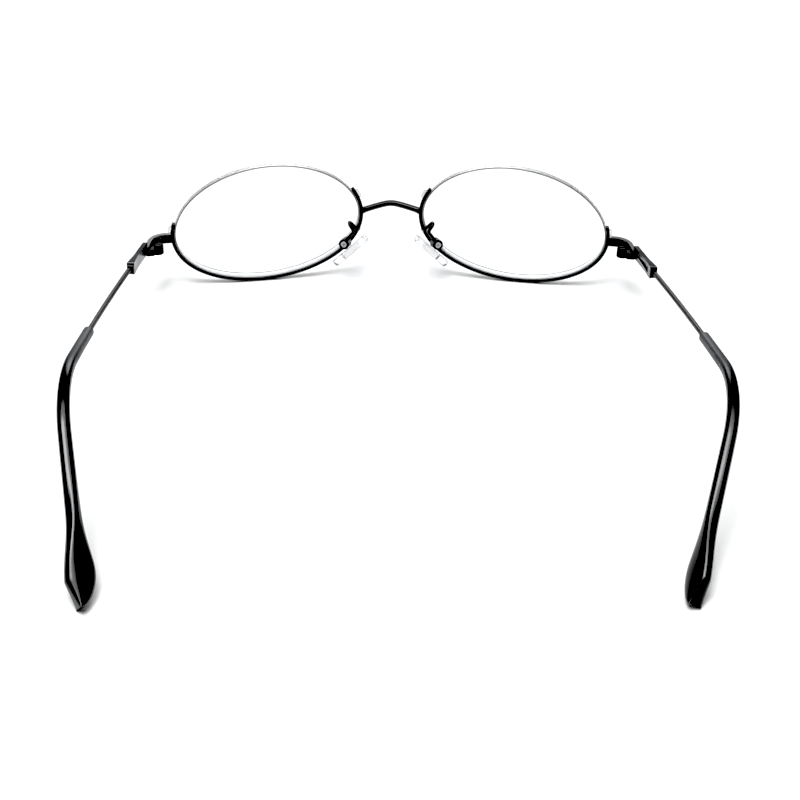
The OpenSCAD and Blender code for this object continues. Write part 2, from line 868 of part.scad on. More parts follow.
// Temple tip: one skin outside and round the core's bore, joined at the front end
sleeve_stations = concat(
    [sleeve_at, sleeve_at + mouth_edge, sleeve_at + 4],
    [for (s = [sleeve_at + 10 : 6 : bend_at - bend_l / 2]) s],
    [for (s = [bend_at - bend_l / 2 : 3.2 : bend_at + bend_l / 2]) s],
    [for (s = [bend_at + bend_l / 2 + 3 : 3 : end_stations[0] - 1]) s],
    end_stations
);
bore_stations = [for (s = wire_stations) if (s > sleeve_at + 1) s];
module tip_shape(way) {
    line = temple_line(way);
    outer = [for (s = sleeve_stations) each sleeve_ring(s, line, way)];
    outer_rings = len(sleeve_stations);
    bore_r = wire_d / 2 + wire_fit;
    inner = [
        for (s = concat([sleeve_at], bore_stations))
            let(t = heading(s, way), out = outward(t), up = cross(out, t))
                for (j = [0 : sleeve_sides - 1])
                    let(a = 360 * j / sleeve_sides)
                        along(line, s) + bore_r * (out * sin(a) - up * cos(a))
    ];
    inner_rings = len(bore_stations) + 1;
    n = len(outer);
    mouth = [
        for (j = [0 : sleeve_sides - 1])
            for (half = [0, 1])
                let(k = (j + 1) % sleeve_sides)
                    half == 0 ? [j, n + k, k] : [j, n + j, n + k]
    ];
    faces = concat(
        wall_faces(outer_rings, sleeve_sides, 0),
        cap_faces(sleeve_sides, (outer_rings - 1) * sleeve_sides, false),
        turned_over(wall_faces(inner_rings, sleeve_sides, n)),
        cap_faces(sleeve_sides, n + (inner_rings - 1) * sleeve_sides, true),
        mouth
    );
    polyhedron(concat(outer, inner), faces);
}

module bridge() {
    color(black_metal)
        left()
            bridge_shape();
}
module left_rim() {
    color(black_metal)
        left()
            rim_shape();
}
module right_rim() {
    color(black_metal)
        right()
            rim_shape();
}
module left_lens() {
    color(lens_tint)
        left()
            lens_shape();
}
module right_lens() {
    color(lens_tint)
        right()
            lens_shape();
}
module left_groove_liner() {
    color(clear_plastic)
        left()
            liner_shape();
}
module right_groove_liner() {
    color(clear_plastic)
        right()
            liner_shape();
}
module left_top_cord() {
    color(clear_plastic)
        left()
            cord_shape();
}
module right_top_cord() {
    color(clear_plastic)
        right()
            cord_shape();
}
module left_pad_arm() {
    color(black_metal)
        left()
            arm_shape();
}
module right_pad_arm() {
    color(black_metal)
        right()
            arm_shape();
}
module left_pad_box() {
    color(black_metal)
        left()
            box_shape();
}
module right_pad_box() {
    color(black_metal)
        right()
            box_shape();
}
module left_pad_screw() {
    color(bright_steel)
        left()
            pad_screw_shape();
}
module right_pad_screw() {
    color(bright_steel)
        right()
            pad_screw_shape();
}
module left_pad_stem() {
    color(clear_plastic)
        left()
            stem_shape();
}
module right_pad_stem() {
    color(clear_plastic)
        right()
            stem_shape();
}
module left_nose_pad() {
    color(clear_plastic)
        left()
            pad_shape();
}
module right_nose_pad() {
    color(clear_plastic)
        right()
            pad_shape();
}
module left_end_piece() {
    color(black_metal)
        left()
            end_piece_shape();
}
module right_end_piece() {
    color(black_metal)
        right()
            end_piece_shape();
}
module left_front_hinge() {
    color(black_metal)
        left()
            front_hinge_shape();
}
module right_front_hinge() {
    color(black_metal)
        right()
            front_hinge_shape();
}
module left_hinge_screw() {
    color(black_metal)
        left()
            hinge_screw_shape();
}
module right_hinge_screw() {
    color(black_metal)
        right()
            hinge_screw_shape();
}
module left_temple_hinge() {
    color(black_metal)
        left()
            temple_hinge_shape();
}
module right_temple_hinge() {
    color(black_metal)
        right()
            temple_hinge_shape();
}
module left_temple_bar() {
    color(black_metal)
        left()
            bar_shape(left_way);
}
module right_temple_bar() {
    color(black_metal)
        right()
            bar_shape(right_way);
}
module left_temple_wire() {
    color(black_metal)
        left()
            wire_shape(left_way);
}
module right_temple_wire() {
    color(black_metal)
        right()
            wire_shape(right_way);
}
module left_temple_tip() {
    color(black_acetate)
        left()
            tip_shape(left_way);
}
module right_temple_tip() {
    color(black_acetate)
        right()
            tip_shape(right_way);
}

bridge();
left_rim();
right_rim();
left_lens();
right_lens();
left_groove_liner();
right_groove_liner();
left_top_cord();
right_top_cord();
left_pad_arm();
right_pad_arm();
left_pad_box();
right_pad_box();
left_pad_screw();
right_pad_screw();
left_pad_stem();
right_pad_stem();
left_nose_pad();
right_nose_pad();
left_end_piece();
right_end_piece();
left_front_hinge();
right_front_hinge();
left_hinge_screw();
right_hinge_screw();
left_temple_hinge();
right_temple_hinge();
left_temple_bar();
right_temple_bar();
left_temple_wire();
right_temple_wire();
left_temple_tip();
right_temple_tip();
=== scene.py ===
# %% [markdown]
# Half-rim spectacles
#
# This lesson dresses a pair of spectacles that a CAD program has already built. The CAD model gives the
# sizes, the joints and a plain solid for each piece. Here each piece gets the shape and the finish that
# the eye expects: rounded metal, polished lenses, soft clear pads and glossy black tips.
# The first lines load the CAD model and keep its solids, whose boxes some pieces are fitted to. Nothing
# drawn here may be larger.

# %% Load the CAD model
import json
import math

import bmesh
import bpy
from mathutils import Matrix, Vector


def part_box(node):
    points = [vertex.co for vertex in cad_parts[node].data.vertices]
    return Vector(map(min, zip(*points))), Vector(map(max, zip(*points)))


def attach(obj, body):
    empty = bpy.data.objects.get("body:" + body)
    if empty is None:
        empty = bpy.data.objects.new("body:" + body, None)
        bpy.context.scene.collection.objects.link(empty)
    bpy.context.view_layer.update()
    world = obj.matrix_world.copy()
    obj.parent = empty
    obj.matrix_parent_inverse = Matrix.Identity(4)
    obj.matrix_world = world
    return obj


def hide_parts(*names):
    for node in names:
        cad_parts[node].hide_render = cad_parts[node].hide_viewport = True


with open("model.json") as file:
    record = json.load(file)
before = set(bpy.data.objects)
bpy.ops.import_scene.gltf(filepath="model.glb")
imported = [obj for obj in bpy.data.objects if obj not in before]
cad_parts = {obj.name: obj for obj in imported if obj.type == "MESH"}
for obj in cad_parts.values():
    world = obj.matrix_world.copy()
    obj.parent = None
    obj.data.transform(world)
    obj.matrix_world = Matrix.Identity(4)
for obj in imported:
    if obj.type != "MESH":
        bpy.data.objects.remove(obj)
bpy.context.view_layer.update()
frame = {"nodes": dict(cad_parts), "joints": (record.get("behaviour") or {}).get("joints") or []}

MM = 0.001
print("CAD pieces:", len(frame["nodes"]))

# %% [markdown]
# The camera comes first, because every later choice is judged through it. It stands behind the wearer's
# side of the spectacles, looks down at the table by about 35 degrees and sees them small, as a long lens
# does. X is the wearer's left, Y runs back to the temple tips and Z is up.

# %% Camera
CAMERA_PITCH, CAMERA_YAW, CAMERA_ROLL = (math.radians(a) for a in (34.61, 2.56, -1.66))
CAMERA_PLACE = Vector((14.04, 334.34, 235.96)) * MM
ahead = Vector((
    -math.sin(CAMERA_YAW) * math.cos(CAMERA_PITCH),
    -math.cos(CAMERA_YAW) * math.cos(CAMERA_PITCH),
    -math.sin(CAMERA_PITCH),
))
level_right = Vector((-math.cos(CAMERA_YAW), math.sin(CAMERA_YAW), 0))
level_down = ahead.cross(level_right)
right = level_right * math.cos(CAMERA_ROLL) + level_down * math.sin(CAMERA_ROLL)
down = level_down * math.cos(CAMERA_ROLL) - level_right * math.sin(CAMERA_ROLL)
turn = Matrix((right, -down, -ahead)).transposed().to_4x4()
camera_data = bpy.data.cameras.new("photo_camera")
camera_data.lens = 72
camera_data.sensor_width = 36
camera_data.clip_start = 0.01
camera_data.clip_end = 20
camera = bpy.data.objects.new("photo_camera", camera_data)
camera.matrix_world = Matrix.Translation(CAMERA_PLACE) @ turn
bpy.context.scene.collection.objects.link(camera)
bpy.context.scene.camera = camera
print("Camera looks down by", round(math.degrees(CAMERA_PITCH), 1), "degrees")

# %% [markdown]
# Materials are small graphs of nodes. One helper adds a node, sets its options and joins its inputs, and
# another turns a colour that is written the usual way, in sRGB hex, into the linear numbers that
# Blender works with. The last one turns the size of a grain, in millimetres, into a pattern's scale.

# %% Helpers for materials
def linear(text):
    parts = [int(text[i:i + 2], 16) / 255 for i in (1, 3, 5)]
    return [c / 12.92 if c <= 0.04045 else ((c + 0.055) / 1.055) ** 2.4 for c in parts] + [1.0]


def add_node(tree, kind, inputs=None, **settings):
    node = tree.nodes.new(kind)
    for name, value in settings.items():
        setattr(node, name, value)
    for name, value in (inputs or {}).items():
        if isinstance(value, bpy.types.NodeSocket):
            tree.links.new(value, node.inputs[name])
        else:
            node.inputs[name].default_value = value
    return node


def empty_material(name):
    material = bpy.data.materials.new(name)
    material.use_nodes = True
    material.node_tree.nodes.clear()
    return material, material.node_tree


def per_mm(size):
    return 1 / (size * MM)


# %% [markdown]
# The metal is steel under a thin black lacquer. Lacquer is not a metal to the light: it reflects a few
# per cent like any varnish, with a clear top. It lies in a very fine orange peel, drawn here a little
# coarser than life so that it shows, and it is a touch greyer where the spray was thinner. The temples
# have a satin coat whose base colour is painted charcoal, a painted sheen for the grey light that they
# reflect, where the front looks black. The bars are painted a lighter grey still, a painted sheen for
# their brighter faces, but their rear ends keep the lacquer's own black and shine less. The hinges are
# only blued and oiled, which leaves them darker and with the least shine of all.

# %% Black lacquered steel
BLACK_END_L, BLACK_END_FADE, BLACK_END_SHINE = 1.3, 0.3, 0.2


def lacquered_steel(name, dark, light, smooth, rough, shine=0.42, black_end_y=None):
    material, tree = empty_material(name)
    place = add_node(tree, "ShaderNodeTexCoord").outputs["Object"]
    spray = add_node(tree, "ShaderNodeTexNoise", {"Vector": place, "Scale": per_mm(5), "Detail": 3.0})
    tone = add_node(tree, "ShaderNodeValToRGB", {"Fac": spray.outputs["Fac"]})
    tone.color_ramp.elements[0].position = 0.3
    tone.color_ramp.elements[0].color = linear(dark)
    tone.color_ramp.elements[1].position = 0.75
    tone.color_ramp.elements[1].color = linear(light)
    gloss = add_node(tree, "ShaderNodeMapRange", {
        "Value": spray.outputs["Fac"], "From Min": 0.3, "From Max": 0.7, "To Min": smooth, "To Max": rough,
    })
    peel = add_node(tree, "ShaderNodeTexNoise", {"Vector": place, "Scale": per_mm(0.35), "Detail": 1.0})
    bump = add_node(tree, "ShaderNodeBump", {
        "Height": peel.outputs["Fac"], "Strength": 0.12, "Distance": 0.02 * MM,
    })
    colour, sheen = tone.outputs["Color"], shine
    # At the black rear end the painted sheen stops: the colour turns to the lacquer's own black and the
    # shine drops.
    if black_end_y is not None:
        along = add_node(tree, "ShaderNodeSeparateXYZ", {"Vector": place})
        black_end = add_node(tree, "ShaderNodeMapRange", {
            "Value": along.outputs["Y"], "From Min": black_end_y, "From Max": black_end_y + BLACK_END_FADE * MM,
        })
        colour = add_node(tree, "ShaderNodeMix", {
            "Factor": black_end.outputs["Result"], "A": colour, "B": linear("#060607"),
        }, data_type="RGBA").outputs["Result"]
        sheen = add_node(tree, "ShaderNodeMapRange", {
            "Value": black_end.outputs["Result"], "To Min": shine, "To Max": BLACK_END_SHINE,
        }).outputs["Result"]
    shader = add_node(tree, "ShaderNodeBsdfPrincipled", {
        "Base Color": colour,
        "Roughness": gloss.outputs["Result"],
        "Normal": bump.outputs["Normal"],
        "IOR": 1.5,
        "Specular IOR Level": sheen,
    })
    add_node(tree, "ShaderNodeOutputMaterial", {"Surface": shader.outputs["BSDF"]})
    return material


black_steel = lacquered_steel("black_lacquered_steel", "#060607", "#0d0d0f", 0.22, 0.34)
# Painted sheen: the wires' charcoal base colour stands for the grey light that they reflect.
wire_steel_painted_sheen = lacquered_steel("satin_lacquered_steel_painted_sheen", "#28292b", "#343537", 0.28, 0.4)
oiled_steel = lacquered_steel("oiled_blued_steel", "#050506", "#0a0a0c", 0.3, 0.42, 0.14)
# Painted sheen: the bars' grey base colour stands for the light on their faces, up to the black rear end.
bar_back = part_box("left_temple_bar")[1].y
bar_steel_painted_sheen = lacquered_steel(
    "bar_lacquered_steel_painted_sheen", "#303133", "#3a3b3d", 0.16, 0.26, 0.5, bar_back - BLACK_END_L * MM,
)
print("Made", black_steel.name, wire_steel_painted_sheen.name, oiled_steel.name, "and", bar_steel_painted_sheen.name)

# %% [markdown]
# The tips are cellulose acetate, cut from black sheet, tumbled and polished by hand. The polish leaves a
# deep gloss with slow waves. Close to the mouth of the sleeve the buffing wheel does not reach, so the
# surface there is satin, and its base colour is painted grey there as a painted sheen: a gradient along
# the temple makes both changes. The right tip was polished a little less than the left one.

# %% Polished black acetate
SATIN_SHEEN_FROM, SATIN_SHEEN_TO = 6, 25
TIP_GLOSS = {"left": 0.14, "right": 0.2}


def polished_acetate(name, mouth_y, smooth):
    material, tree = empty_material(name)
    place = add_node(tree, "ShaderNodeTexCoord").outputs["Object"]
    depth = add_node(tree, "ShaderNodeTexNoise", {"Vector": place, "Scale": per_mm(9), "Detail": 2.0})
    tone = add_node(tree, "ShaderNodeValToRGB", {"Fac": depth.outputs["Fac"]})
    tone.color_ramp.elements[0].color = linear("#060607")
    tone.color_ramp.elements[1].color = linear("#101013")
    along = add_node(tree, "ShaderNodeSeparateXYZ", {"Vector": place})
    reach = add_node(tree, "ShaderNodeMapRange", {
        "Value": along.outputs["Y"],
        "From Min": (mouth_y + SATIN_SHEEN_FROM) * MM,
        "From Max": (mouth_y + SATIN_SHEEN_TO) * MM,
    })
    # Painted sheen: near the mouth the base colour is painted grey, and it turns to the acetate's black
    # further on.
    painted_sheen_tone = add_node(tree, "ShaderNodeMix", {
        "Factor": reach.outputs["Result"], "A": linear("#444547"), "B": tone.outputs["Color"],
    }, data_type="RGBA")
    near_mouth = add_node(tree, "ShaderNodeMapRange", {
        "Value": reach.outputs["Result"], "From Min": 0.6, "To Min": 0.42, "To Max": smooth,
    })
    waves = add_node(tree, "ShaderNodeMath", {0: depth.outputs["Fac"], 1: 0.08}, operation="MULTIPLY")
    gloss = add_node(tree, "ShaderNodeMath", {
        0: near_mouth.outputs["Result"], 1: waves.outputs[0],
    }, operation="ADD")
    hand = add_node(tree, "ShaderNodeTexNoise", {"Vector": place, "Scale": per_mm(4), "Detail": 0.0})
    bump = add_node(tree, "ShaderNodeBump", {
        "Height": hand.outputs["Fac"], "Strength": 0.1, "Distance": 0.05 * MM,
    })
    shader = add_node(tree, "ShaderNodeBsdfPrincipled", {
        "Base Color": painted_sheen_tone.outputs["Result"],
        "Roughness": gloss.outputs[0],
        "Normal": bump.outputs["Normal"],
        "IOR": 1.48,
    })
    add_node(tree, "ShaderNodeOutputMaterial", {"Surface": shader.outputs["BSDF"]})
    return material


tip_acetate = {
    side: polished_acetate(f"{side}_polished_acetate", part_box(f"{side}_temple_tip")[0].y / MM, smooth)
    for side, smooth in TIP_GLOSS.items()
}
print("Made", [material.name for material in tip_acetate.values()])

# %% [markdown]
# Clear plastics bend the light that goes through them. A renderer that traces light backwards finds that
# path hard to follow from a lamp, and it would leave a dark shadow under a clear lens. So each clear
# material lets rays on their way to a lamp straight through, which is what thin clear plastic nearly does.
#
# The clear plastics that follow are the polished lens, its ground edge, the nylon and the silicone of
# the pads. They differ in how much they scatter, and each has the marks of how it was made. The narrow
# safety bevel of a lens is ground matt and turns most light away, and its tint is painted mid grey, a
# painted reflection of the darker surroundings that a lens edge shows, so it reads as a thin grey line.
# The insert in a pad lies inside silicone, so its IOR is the ratio of the two plastics, not its own 1.49.

# %% Clear plastics
def clear_plastic(name, tint, ior, smooth, rough, grain_mm, relief, haze, pale):
    material, tree = empty_material(name)
    place = add_node(tree, "ShaderNodeTexCoord").outputs["Object"]
    grain = add_node(tree, "ShaderNodeTexNoise", {"Vector": place, "Scale": per_mm(grain_mm), "Detail": 2.0})
    tone = add_node(tree, "ShaderNodeMix", {
        "Factor": grain.outputs["Fac"], "A": linear(tint), "B": linear(pale),
    }, data_type="RGBA")
    gloss = add_node(tree, "ShaderNodeMapRange", {
        "Value": grain.outputs["Fac"], "From Min": 0.3, "From Max": 0.7, "To Min": smooth, "To Max": rough,
    })
    bump = add_node(tree, "ShaderNodeBump", {
        "Height": grain.outputs["Fac"], "Strength": relief, "Distance": 0.02 * MM,
    })
    body = add_node(tree, "ShaderNodeBsdfPrincipled", {
        "Base Color": tone.outputs["Result"],
        "Roughness": gloss.outputs["Result"],
        "Normal": bump.outputs["Normal"],
        "IOR": ior,
        "Transmission Weight": 1 - haze,
    })
    through = add_node(tree, "ShaderNodeBsdfTransparent", {"Color": linear(tint)})
    path = add_node(tree, "ShaderNodeLightPath")
    both = add_node(tree, "ShaderNodeMixShader", {
        0: path.outputs["Is Shadow Ray"], 1: body.outputs["BSDF"], 2: through.outputs["BSDF"],
    })
    add_node(tree, "ShaderNodeOutputMaterial", {"Surface": both.outputs["Shader"]})
    return material


lens_plastic = clear_plastic("polished_lens_plastic", "#fcfdfd", 1.5, 0.0, 0.02, 20, 0.0, 0.0, "#fdfdfd")
ground_edge = clear_plastic("ground_lens_edge", "#dcdcdc", 1.5, 0.3, 0.5, 0.4, 0.3, 0.35, "#e6e6e6")
# Painted reflection: the bevel's mid-grey tint stands for the darker surroundings seen in a lens edge.
matt_bevel_painted_grey = clear_plastic("matt_lens_bevel_painted_grey", "#5a5b5c", 1.5, 0.4, 0.6, 0.4, 0.3, 0.75, "#6c6d6e")
clear_nylon = clear_plastic("clear_nylon_filament", "#d8d8d8", 1.53, 0.05, 0.14, 1.5, 0.1, 0.06, "#e0e0e0")
white_nylon = clear_plastic("white_nylon_liner", "#f2f2f2", 1.53, 0.25, 0.4, 1.0, 0.2, 0.85, "#f6f6f6")
silicone = clear_plastic("clear_silicone", "#e4e5e6", 1.41, 0.06, 0.16, 2.5, 0.15, 0.04, "#ececed")
clear_insert = clear_plastic("moulded_clear_insert", "#f0f0f1", 1.06, 0.05, 0.1, 1.5, 0.1, 0.02, "#f4f4f4")
print("Made", len(bpy.data.materials), "materials so far")

# %% [markdown]
# Screws are turned from bright stainless bar. The lathe leaves rings too fine to see from here, so broad
# ones are drawn instead, about 1.6 mm apart, round each screw's own axis. Blender's wave pattern repeats
# every 2 pi, after it has multiplied the place by its scale and by 20, and that gives the spacing.

# %% Turned stainless steel
RING_GRAIN, WAVE_FACTOR = 0.25, 20


def turned_steel(name, centre, axis):
    material, tree = empty_material(name)
    place = add_node(tree, "ShaderNodeTexCoord").outputs["Object"]
    level = axis.to_track_quat("Z", "Y").inverted()
    own = add_node(tree, "ShaderNodeMapping", {
        "Vector": place,
        "Location": -(level @ centre),
        "Rotation": level.to_euler(),
    })
    rings = add_node(tree, "ShaderNodeTexWave", {
        "Vector": own.outputs["Vector"], "Scale": per_mm(RING_GRAIN) / WAVE_FACTOR, "Distortion": 0.4,
    }, wave_type="RINGS", rings_direction="Z")
    tone = add_node(tree, "ShaderNodeMix", {
        "Factor": rings.outputs["Fac"], "A": linear("#a9acb0"), "B": linear("#c9cccf"),
    }, data_type="RGBA")
    gloss = add_node(tree, "ShaderNodeMapRange", {
        "Value": rings.outputs["Fac"], "To Min": 0.22, "To Max": 0.38,
    })
    shader = add_node(tree, "ShaderNodeBsdfPrincipled", {
        "Base Color": tone.outputs["Result"],
        "Roughness": gloss.outputs["Result"],
        "Metallic": 1.0,
    })
    add_node(tree, "ShaderNodeOutputMaterial", {"Surface": shader.outputs["BSDF"]})
    return material


# %% [markdown]
# The lenses are slices of a thin spherical bowl, cut to an oval. Everything round them, the rims, the
# liner and the filament, runs parallel to that oval, so a few small functions describe them all. A point
# is given by its angle round the oval, its distance outside the edge and its depth through the lens. Near
# the rim's ends, edge_angle turns a length along the edge into such an angle.

# %% The lens oval
LENS_W, LENS_H, LENS_T, LENS_R = 53.0, 33.5, 2.4, 125.0
LENS_TURN, LENS_LEAN, LENS_WRAP = 7.5, 6.0, 7.0
RIM_IN, RIM_W, RIM_DEPTH = 0.04, 1.0, 1.7
RIM_OUT = RIM_IN + RIM_W
RIM_FROM, RIM_TO = 160, 376
SAG_EDGE = math.sqrt(LENS_R ** 2 - (LENS_W / 2) ** 2)
SIDES = {"left": 1, "right": -1}


def cos(a):
    return math.cos(math.radians(a))


def sin(a):
    return math.sin(math.radians(a))


def edge_normal(a):
    return Vector((LENS_H * cos(a), LENS_W * sin(a))).normalized()


def edge_point(a, off):
    return Vector((LENS_W * cos(a), LENS_H * sin(a))) / 2 + off * edge_normal(a)


def on_shell(p, depth):
    return Vector((p.x, p.y, math.sqrt((LENS_R + depth) ** 2 - p.x ** 2 - p.y ** 2) - SAG_EDGE))


def edge_angle(length):
    return length / (math.hypot(LENS_W * sin(RIM_FROM), LENS_H * cos(RIM_FROM)) / 2) * 180 / math.pi


# %% [markdown]
# The left lens stands in the frame with a lean, a wrap round the face and a turn in its own plane. The
# turn is known, and the place follows from the CAD rim's box: the same rim, drawn here at the turn alone,
# has to fill the same box.

# %% Place of the left lens
lens_turn = (
    Matrix.Rotation(math.radians(LENS_WRAP), 4, "Z")
    @ Matrix.Rotation(math.radians(90 + LENS_LEAN), 4, "X")
    @ Matrix.Rotation(math.radians(-LENS_TURN), 4, "Z")
)
corners = [
    lens_turn @ on_shell(edge_point(a, off), depth)
    for a in range(RIM_FROM, RIM_TO + 1)
    for off in (RIM_IN, RIM_OUT)
    for depth in (-RIM_DEPTH / 2, RIM_DEPTH / 2)
]
lowest = Vector([min(c[i] for c in corners) for i in range(3)])
lens_place = Matrix.Translation(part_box("left_rim")[0] / MM - lowest) @ lens_turn
print("Lens middle, mm:", [round(v, 3) for v in lens_place.translation])


# %% [markdown]
# Most pieces are skins over a row of rings. One helper joins the rings, closes the ends and makes a mesh
# in metres. The right side is the left one seen in a mirror, which turns every face inside out, so its
# faces are turned back. Two more helpers make all faces look outwards and tie a piece to its body,
# hiding the CAD solid that it stands for.

# %% Helpers for meshes
def skin(rings, closed=False):
    sides, count = len(rings[0]), len(rings)
    points = [p for ring in rings for p in ring]
    faces = []
    for i in range(count if closed else count - 1):
        for j in range(sides):
            a, b = i * sides + j, i * sides + (j + 1) % sides
            step = ((i + 1) % count - i) * sides
            faces.append((a, b, b + step, a + step))
    if not closed:
        faces.append(tuple(reversed(range(sides))))
        faces.append(tuple(range((count - 1) * sides, count * sides)))
    return points, faces


def make_piece(name, points, faces, side, body, materials, replaced):
    flip = SIDES[side]
    mesh = bpy.data.meshes.new(name)
    mesh.from_pydata(
        [(p[0] * flip * MM, p[1] * MM, p[2] * MM) for p in points],
        [],
        [f if flip == 1 else tuple(reversed(f)) for f in faces],
    )
    for material in materials:
        mesh.materials.append(material)
    piece = bpy.data.objects.new(name, mesh)
    bpy.context.scene.collection.objects.link(piece)
    return dress(piece, body, replaced)


def outward(mesh):
    shape = bmesh.new()
    shape.from_mesh(mesh)
    bmesh.ops.remove_doubles(shape, verts=shape.verts, dist=1e-7)
    bmesh.ops.recalc_face_normals(shape, faces=shape.faces)
    shape.to_mesh(mesh)
    shape.free()


def dress(piece, body, replaced):
    piece.data.shade_smooth()
    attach(piece, body)
    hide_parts(*replaced)
    return piece


# %% [markdown]
# A real lens is polished on both faces, has a narrow safety bevel at each rim and a ground edge with a
# groove for the filament. The mesh follows that: a profile runs from the middle of the front, over the
# edge and its groove, to the middle of the back, and it is carried round the oval. The faces of the
# edge take the ground finish, and the two bevels the matt one with its painted grey. At the back the
# matt finish runs over a narrow lip of the face too, where the bevelling wheel drew off.

# %% Lenses
GROOVE_W, GROOVE_D, BEVEL, LIP = 0.7, 0.45, 0.22, 0.16
LENS_RINGS, LENS_SIDES = 14, 180
POLISHED, GROUND, MATT_PAINTED_GREY = 0, 1, 2


def lens_profile():
    half = LENS_T / 2
    outer = [
        (0, -BEVEL - LIP, half), (0, -BEVEL, half), (0, 0, half - BEVEL),
        (0, 0, GROOVE_W / 2), (0, -GROOVE_D, GROOVE_W / 2),
    ]
    edge = outer + [(s, off, -depth) for s, off, depth in reversed(outer)]
    inner = [(k / LENS_RINGS, None, half) for k in range(1, LENS_RINGS)]
    return inner + edge + [(s, off, -depth) for s, off, depth in reversed(inner)], len(inner), len(edge)


def lens_piece(side):
    profile, inner, edge = lens_profile()
    angles = [360 * j / LENS_SIDES for j in range(LENS_SIDES)]
    rings = []
    for share, off, depth in profile:
        if off is None:
            ring = [edge_point(a, -BEVEL - LIP) * share for a in angles]
        else:
            ring = [edge_point(a, off) for a in angles]
        rings.append([lens_place @ on_shell(p, depth) for p in ring])
    points, faces = skin(rings)
    piece = make_piece(
        f"{side}_polished_lens", points, faces, side, "front",
        [lens_plastic, ground_edge, matt_bevel_painted_grey], [f"{side}_lens"],
    )
    for face in piece.data.polygons:
        band = face.index // LENS_SIDES - inner
        if 0 <= band < edge - 1:
            face.material_index = {0: POLISHED, 1: MATT_PAINTED_GREY, edge - 3: MATT_PAINTED_GREY, edge - 2: MATT_PAINTED_GREY}.get(band, GROUND)
    piece.data.set_sharp_from_angle(angle=math.radians(35))
    return piece


for side in SIDES:
    print("Made", lens_piece(side).name)


# %% [markdown]
# The rim is a steel strip with a shallow channel rolled into its inner face, bent round the lower half of
# the lens and a little beyond. Its section is the same all the way, so one closed profile with softened
# corners is carried along the oval. At both ends the section shrinks a little, as a filed end does.

# %% Rims
CHANNEL_D, CHANNEL_W = 0.4, 0.8
INNER_ROUND, OUTER_ROUND, CHANNEL_ROUND = 0.12, 0.28, 0.06
RIM_STEPS = 150
FILED_L, FILED_SIZE, FILED_MIDDLE, FILED_TURN = 0.25, 0.8, 0.6, 0.3


def rounded_profile(corners, steps=4):
    points = []
    for i, (x, y, r) in enumerate(corners):
        here = Vector((x, y))
        before = Vector(corners[i - 1][:2])
        after = Vector(corners[(i + 1) % len(corners)][:2])
        a = here + (before - here).normalized() * r
        b = here + (after - here).normalized() * r
        for k in range(steps + 1):
            u = k / steps
            points.append(a * (1 - u) ** 2 + here * 2 * u * (1 - u) + b * u ** 2)
    return points


def rim_profile():
    depth, channel = RIM_DEPTH / 2, CHANNEL_W / 2
    return rounded_profile([
        (RIM_IN, depth, INNER_ROUND), (RIM_OUT, depth, OUTER_ROUND),
        (RIM_OUT, -depth, OUTER_ROUND), (RIM_IN, -depth, INNER_ROUND),
        (RIM_IN, -channel, CHANNEL_ROUND), (RIM_IN + CHANNEL_D, -channel, CHANNEL_ROUND),
        (RIM_IN + CHANNEL_D, channel, CHANNEL_ROUND), (RIM_IN, channel, CHANNEL_ROUND),
    ])


def rim_piece(side):
    profile = rim_profile()
    middle = Vector((RIM_IN + FILED_MIDDLE, 0))
    stations = [RIM_FROM + (RIM_TO - RIM_FROM) * i / RIM_STEPS for i in range(RIM_STEPS + 1)]
    filed = edge_angle(FILED_L)
    stations = (
        [RIM_FROM, RIM_FROM + filed * FILED_TURN, RIM_FROM + filed]
        + [a for a in stations if RIM_FROM + filed < a < RIM_TO - filed]
        + [RIM_TO - filed, RIM_TO - filed * FILED_TURN, RIM_TO]
    )
    rings = []
    for a in stations:
        inset = min(1, min(a - RIM_FROM, RIM_TO - a) / filed)
        size = FILED_SIZE + (1 - FILED_SIZE) * math.sqrt(1 - (1 - inset) ** 2)
        ring = [middle + (p - middle) * size for p in profile]
        rings.append([lens_place @ on_shell(edge_point(a, p.x), p.y) for p in ring])
    points, faces = skin(rings)
    piece = make_piece(
        f"{side}_rolled_rim", points, faces, side, "front", [black_steel], [f"{side}_rim"],
    )
    outward(piece.data)
    piece.data.set_sharp_from_angle(angle=math.radians(50))
    return piece


for side in SIDES:
    print("Made", rim_piece(side).name)

# %% [markdown]
# A strip of white nylon lines the channel and reaches into the groove of the lens, so that steel never
# touches plastic. It is a plain band with softened corners.

# %% Groove liners
LINER_FROM, LINER_TO, LINER_STEP = 176, 360, 2
LINER_W, LINER_IN, LINER_OUT, LINER_ROUND = 0.62, -0.41, 0.4, 0.1


def liner_piece(side):
    half = LINER_W / 2
    profile = rounded_profile([
        (LINER_IN, half, LINER_ROUND), (LINER_OUT, half, LINER_ROUND),
        (LINER_OUT, -half, LINER_ROUND), (LINER_IN, -half, LINER_ROUND),
    ], 2)
    rings = [
        [lens_place @ on_shell(edge_point(a, p.x), p.y) for p in profile]
        for a in range(LINER_FROM, LINER_TO + 1, LINER_STEP)
    ]
    points, faces = skin(rings)
    piece = make_piece(
        f"{side}_nylon_liner", points, faces, side, "front", [white_nylon],
        [f"{side}_groove_liner"],
    )
    outward(piece.data)
    return piece


for side in SIDES:
    print("Made", liner_piece(side).name)

# %% [markdown]
# Wires and filaments are all the same idea: a round section that follows a path. Geometry Nodes do this
# well. The tree below takes a path, turns it into a curve and sweeps a circle along it. Its sizes are
# named inputs. A number stored on each point of the path makes the section swell where a wire is
# welded on.

